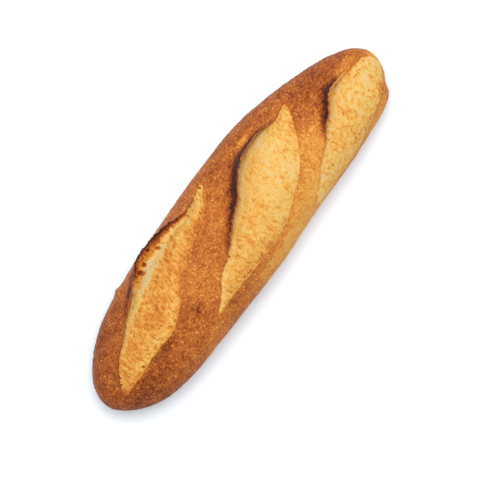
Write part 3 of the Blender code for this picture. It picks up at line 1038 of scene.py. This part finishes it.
# Where crust closes over the crumb on the paler nose, as (x, y).
NOSE_BORDER = ((112, 4), (118, 1.9), (123, 0.2), (126, -2.2), (128, -4.8), (129.5, -8.5))


def crumb_kept(slash, points, sheet, over):
    """1 where the crumb shows bare, and 0 where it has browned like the crust, at its soft border and its ends."""
    x = points[:, 0]
    soft = between(slash.soft, x)
    mottle = 0.6 * lumps(sheet, 5, 2) + 0.5 * lumps(sheet, 1.8, 7)
    kept = ease((over + 0.3 + soft * 0.6 * mottle) / soft)
    kept *= ease((x - slash.start + mottle) / 3)
    if slash.name == "right":
        upper = between(NOSE_BORDER, x)
        kept *= np.where(x > NOSE_BORDER[0][0], ease((upper - points[:, 1] + 0.8 * mottle) / 1.6), 1)
    else:
        kept *= ease((slash.end - x + 2.0 * mottle) / 4)
    return kept


# --- Materials ------------------------------------------------------------------------------------------


EXPOSURE = 1.6  # the studio light turns a colour this much brighter
SHEEN = 0.014  # and its reflection adds this much white
# The stages of browning, palest first, as a lit loaf shows them.
STAGES = (
    (0.0, (238, 207, 152)),
    (0.1, (244, 204, 128)),
    (0.2, (247, 197, 107)),
    (0.3, (242, 178, 85)),
    (0.4, (231, 153, 67)),
    (0.5, (213, 128, 58)),
    (0.6, (190, 105, 50)),
    (0.7, (164, 86, 42)),
    (0.8, (136, 67, 35)),
    (0.9, (104, 53, 35)),
    (1.0, (68, 42, 34)),
)
# The same where steam kept it shiny and translucent.
AMBER_STAGES = (
    (0.15, (232, 166, 72)),
    (0.4, (204, 120, 37)),
    (0.6, (176, 87, 21)),
    (0.8, (146, 68, 20)),
    (1.0, (84, 44, 24)),
)


def lit(shade):
    """The surface colour that looks like an 0 to 255 shade under the studio light."""
    linear = [((c / 255 + 0.055) / 1.055) ** 2.4 for c in shade]
    return (*(max(c - SHEEN, 0.004) / EXPOSURE for c in linear), 1.0)


def adder(tree, first, second, factor):
    """A socket that holds first plus factor times second."""
    node = tree.nodes.new("ShaderNodeMath")
    node.operation = "MULTIPLY_ADD"
    tree.links.new(second, node.inputs[0])
    node.inputs[1].default_value = factor
    tree.links.new(first, node.inputs[2])
    return node.outputs[0]


def multiplied(tree, first, second):
    node = tree.nodes.new("ShaderNodeMath")
    node.operation = "MULTIPLY"
    tree.links.new(first, node.inputs[0])
    tree.links.new(second, node.inputs[1])
    return node.outputs[0]


def ranged(tree, value, low, high):
    """A socket that climbs smoothly from 0 to 1 as the value goes from low to high."""
    node = tree.nodes.new("ShaderNodeMapRange")
    node.interpolation_type = "SMOOTHSTEP"
    node.inputs["From Min"].default_value = low
    node.inputs["From Max"].default_value = high
    tree.links.new(value, node.inputs["Value"])
    return node.outputs["Result"]


def centred_noise(tree, coords, size, curl):
    """Noise about zero in lumps of a size in metres, curled by how much it distorts itself."""
    noise = tree.nodes.new("ShaderNodeTexNoise")
    noise.inputs["Scale"].default_value = 1 / size
    noise.inputs["Detail"].default_value = 2.0
    noise.inputs["Roughness"].default_value = 0.55
    noise.inputs["Distortion"].default_value = curl
    tree.links.new(coords, noise.inputs["Vector"])
    centred = tree.nodes.new("ShaderNodeMath")
    centred.operation = "SUBTRACT"
    tree.links.new(noise.outputs["Fac"], centred.inputs[0])
    centred.inputs[1].default_value = 0.5
    return centred.outputs[0]


def specks(tree, coords, size):
    """Round specks, one to a cell of a size in metres: near 1 in the middle of each, and weak or absent in some."""
    cells = tree.nodes.new("ShaderNodeTexVoronoi")
    cells.inputs["Scale"].default_value = 1 / size
    tree.links.new(coords, cells.inputs["Vector"])
    split = tree.nodes.new("ShaderNodeSeparateColor")
    tree.links.new(cells.outputs["Color"], split.inputs["Color"])
    return multiplied(
        tree, ranged(tree, cells.outputs["Distance"], 0.4, 0.08), ranged(tree, split.outputs["Red"], 0.2, 1.0)
    )


def stored(tree, label):
    node = tree.nodes.new("ShaderNodeAttribute")
    node.attribute_name = label
    return node.outputs["Fac"]


def staged(tree, value, stages):
    """A socket that holds the colour of a value, through stages of (value, shade)."""
    node = tree.nodes.new("ShaderNodeValToRGB")
    ramp = node.color_ramp
    ramp.elements.remove(ramp.elements[1])
    ramp.elements[0].position = stages[0][0]
    ramp.elements[0].color = lit(stages[0][1])
    for place, shade in stages[1:]:
        ramp.elements.new(place).color = lit(shade)
    tree.links.new(value, node.inputs["Fac"])
    return node.outputs["Color"]


def baked_bread():
    """Bread coloured by how baked it is, and darker where painted shadow is held in its browning. Fine grain and pale
    blisters shift that, less so where the crumb is bare.
    """
    material = bpy.data.materials.new("baked_bread")
    material.use_nodes = True
    tree = material.node_tree
    shader = tree.nodes["Principled BSDF"]
    coords = tree.nodes.new("ShaderNodeTexCoord").outputs["Object"]
    crusty = tree.nodes.new("ShaderNodeMath")
    crusty.operation = "SUBTRACT"
    crusty.inputs[0].default_value = 1.0
    tree.links.new(stored(tree, "bare"), crusty.inputs[1])
    crusty = multiplied(tree, crusty.outputs[0], ranged(tree, stored(tree, "brown"), 0.1, 0.62))
    grain = centred_noise(tree, coords, 0.0013, 0.5)
    patches = centred_noise(tree, coords, 0.004, 0.6)
    spots = multiplied(tree, specks(tree, coords, 0.0019), crusty)
    brown = adder(tree, stored(tree, "brown"), patches, 0.12)
    brown = adder(tree, brown, multiplied(tree, patches, crusty), 0.14)
    brown = adder(tree, brown, grain, 0.36)
    brown = adder(tree, brown, multiplied(tree, grain, crusty), 0.34)
    brown = adder(tree, brown, spots, -0.3)
    mix = tree.nodes.new("ShaderNodeMix")
    mix.data_type = "RGBA"
    tree.links.new(stored(tree, "amber"), mix.inputs["Factor"])
    tree.links.new(staged(tree, brown, STAGES), mix.inputs["A"])
    tree.links.new(staged(tree, brown, AMBER_STAGES), mix.inputs["B"])
    tree.links.new(mix.outputs["Result"], shader.inputs["Base Color"])
    shader.inputs["Roughness"].default_value = 0.65
    shader.inputs["Specular IOR Level"].default_value = 0.15
    dents = tree.nodes.new("ShaderNodeBump")
    dents.inputs["Strength"].default_value = 0.5
    dents.inputs["Distance"].default_value = 0.0006
    tree.links.new(adder(tree, grain, spots, 0.3), dents.inputs["Height"])
    tree.links.new(dents.outputs["Normal"], shader.inputs["Normal"])
    return material


# --- Blisters -------------------------------------------------------------------------------------------


BLISTERS = 0.075  # to a square millimetre of crust
BLISTER_SIZE = (0.22, 0.55)
BLISTER_RISE = 0.42  # how tall a blister is for its width


def geometry_link(tree, first, output, second, name):
    tree.links.new(first.outputs[output], second.inputs[name])


def named_value(tree, name):
    node = tree.nodes.new("GeometryNodeInputNamedAttribute")
    node.data_type = "FLOAT"
    node.inputs["Name"].default_value = name
    return node.outputs["Attribute"]


def blister_tree(material):
    """Low round blisters strewn over the crust, each a little paler than the crust it stands on."""
    tree = bpy.data.node_groups.new("blister_tree", "GeometryNodeTree")
    tree.interface.new_socket("Geometry", in_out="INPUT", socket_type="NodeSocketGeometry")
    per_area = tree.interface.new_socket("Per square metre", in_out="INPUT", socket_type="NodeSocketFloat")
    least = tree.interface.new_socket("Least radius", in_out="INPUT", socket_type="NodeSocketFloat")
    most = tree.interface.new_socket("Greatest radius", in_out="INPUT", socket_type="NodeSocketFloat")
    rise = tree.interface.new_socket("Rise", in_out="INPUT", socket_type="NodeSocketFloat")
    seed = tree.interface.new_socket("Seed", in_out="INPUT", socket_type="NodeSocketInt")
    tree.interface.new_socket("Geometry", in_out="OUTPUT", socket_type="NodeSocketGeometry")
    entry = tree.nodes.new("NodeGroupInput")
    leave = tree.nodes.new("NodeGroupOutput")

    spread = tree.nodes.new("ShaderNodeMath")
    spread.operation = "MULTIPLY"
    tree.links.new(entry.outputs["Per square metre"], spread.inputs[0])
    tree.links.new(named_value(tree, "blistered"), spread.inputs[1])
    strewn = tree.nodes.new("GeometryNodeDistributePointsOnFaces")
    strewn.distribute_method = "RANDOM"
    tree.links.new(entry.outputs["Geometry"], strewn.inputs["Mesh"])
    tree.links.new(spread.outputs[0], strewn.inputs["Density"])
    tree.links.new(entry.outputs["Seed"], strewn.inputs["Seed"])

    paler = tree.nodes.new("ShaderNodeMath")
    paler.operation = "SUBTRACT"
    tree.links.new(named_value(tree, "brown"), paler.inputs[0])
    paler.inputs[1].default_value = 0.09
    toned = tree.nodes.new("GeometryNodeStoreNamedAttribute")
    toned.data_type = "FLOAT"
    toned.inputs["Name"].default_value = "brown"
    tree.links.new(strewn.outputs["Points"], toned.inputs["Geometry"])
    tree.links.new(paler.outputs[0], toned.inputs["Value"])

    dome = tree.nodes.new("GeometryNodeMeshUVSphere")
    dome.inputs["Segments"].default_value = 8
    dome.inputs["Rings"].default_value = 5
    dome.inputs["Radius"].default_value = 1.0
    size = tree.nodes.new("FunctionNodeRandomValue")
    size.data_type = "FLOAT"
    tree.links.new(entry.outputs["Least radius"], size.inputs["Min_001"] if "Min_001" in size.inputs else size.inputs[2])
    tree.links.new(entry.outputs["Greatest radius"], size.inputs[3])
    tree.links.new(entry.outputs["Seed"], size.inputs["Seed"])
    height = tree.nodes.new("ShaderNodeMath")
    height.operation = "MULTIPLY"
    tree.links.new(size.outputs[1], height.inputs[0])
    tree.links.new(entry.outputs["Rise"], height.inputs[1])
    scale = tree.nodes.new("ShaderNodeCombineXYZ")
    tree.links.new(size.outputs[1], scale.inputs["X"])
    tree.links.new(size.outputs[1], scale.inputs["Y"])
    tree.links.new(height.outputs[0], scale.inputs["Z"])
    placed = tree.nodes.new("GeometryNodeInstanceOnPoints")
    tree.links.new(toned.outputs["Geometry"], placed.inputs["Points"])
    tree.links.new(dome.outputs["Mesh"], placed.inputs["Instance"])
    tree.links.new(strewn.outputs["Rotation"], placed.inputs["Rotation"])
    tree.links.new(scale.outputs[0], placed.inputs["Scale"])
    real = tree.nodes.new("GeometryNodeRealizeInstances")
    tree.links.new(placed.outputs["Instances"], real.inputs["Geometry"])
    dressed = tree.nodes.new("GeometryNodeSetMaterial")
    dressed.inputs["Material"].default_value = material
    tree.links.new(real.outputs["Geometry"], dressed.inputs["Geometry"])
    tree.links.new(dressed.outputs["Geometry"], leave.inputs["Geometry"])
    return tree, {per_area: BLISTERS / MM**2, least: BLISTER_SIZE[0] * MM, most: BLISTER_SIZE[1] * MM,
                  rise: BLISTER_RISE, seed: 11}


def make_blisters(crust, material):
    tree, settings = blister_tree(material)
    made = bpy.data.objects.new("blisters", crust.data.copy())
    bpy.context.scene.collection.objects.link(made)
    strewing = made.modifiers.new("strewing", "NODES")
    strewing.node_group = tree
    for socket, value in settings.items():
        strewing[socket.identifier] = value
    evaluated = made.evaluated_get(bpy.context.evaluated_depsgraph_get())
    plain = bpy.data.meshes.new_from_object(evaluated)
    made.modifiers.remove(strewing)
    made.data = plain
    plain.name = "blisters"
    plain.shade_smooth()
    return made


# --- Studio ---------------------------------------------------------------------------------------------


LOAF_TURN = math.radians(52.88)  # the loaf lies this far round from the picture's level
VIEW_WIDTH = 0.2938
LOAF_ASIDE = (0.00962, -0.01473)  # the loaf's middle lies this far left of the picture's, and above it
CAMERA_HEIGHT = 4.0
SENSOR = 36.0


def make_camera():
    right = Vector((math.cos(LOAF_TURN), -math.sin(LOAF_TURN), 0))
    up = Vector((math.sin(LOAF_TURN), math.cos(LOAF_TURN), 0))
    data = bpy.data.cameras.new("camera")
    data.sensor_width = SENSOR
    data.lens = SENSOR * CAMERA_HEIGHT / VIEW_WIDTH
    camera = bpy.data.objects.new("camera", data)
    above = Vector((0, SIDE_SHIFT * MM, CAMERA_HEIGHT + 0.022))
    camera.location = LOAF_ASIDE[0] * right + LOAF_ASIDE[1] * up + above
    camera.rotation_euler = (0, 0, -LOAF_TURN)
    bpy.context.scene.collection.objects.link(camera)
    bpy.context.scene.camera = camera


def make_lamp(name, towards, distance, size, power):
    """A square soft box that shines at the loaf from one side."""
    data = bpy.data.lights.new(name, "AREA")
    data.energy = power
    data.size = size
    lamp = bpy.data.objects.new(name, data)
    lamp.location = Vector(towards).normalized() * distance
    lamp.rotation_euler = Vector(towards).to_track_quat("Z", "Y").to_euler()
    bpy.context.scene.collection.objects.link(lamp)


def make_studio():
    world = bpy.data.worlds.new("studio")
    world.use_nodes = True
    world.node_tree.nodes["Background"].inputs["Color"].default_value = (1, 1, 1, 1)
    world.node_tree.nodes["Background"].inputs["Strength"].default_value = 0.89
    bpy.context.scene.world = world
    bpy.context.scene.view_settings.view_transform = "Standard"
    make_lamp("key", (0.27, 0.22, 1.2), 1.4, 1.0, 17.7)
    bpy.ops.mesh.primitive_plane_add(size=8)
    floor = bpy.context.object
    floor.name = "floor"
    paper = bpy.data.materials.new("white_paper")
    paper.use_nodes = True
    finish = paper.node_tree.nodes["Principled BSDF"]
    finish.inputs["Base Color"].default_value = (0.78, 0.82, 0.86, 1)
    finish.inputs["Roughness"].default_value = 0.9
    finish.inputs["Emission Color"].default_value = (1, 1, 1, 1)
    finish.inputs["Emission Strength"].default_value = 0.05
    floor.data.materials.append(paper)


def main():
    make_camera()
    make_studio()
    finish = baked_bread()
    crust = make_crust(finish)
    pieces = [crust, make_blisters(crust, finish)]
    pieces += [make_crumb(slash, finish) for slash in SLASHES]
    for piece in pieces:
        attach(piece, "root")
    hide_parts("baguette")


main()
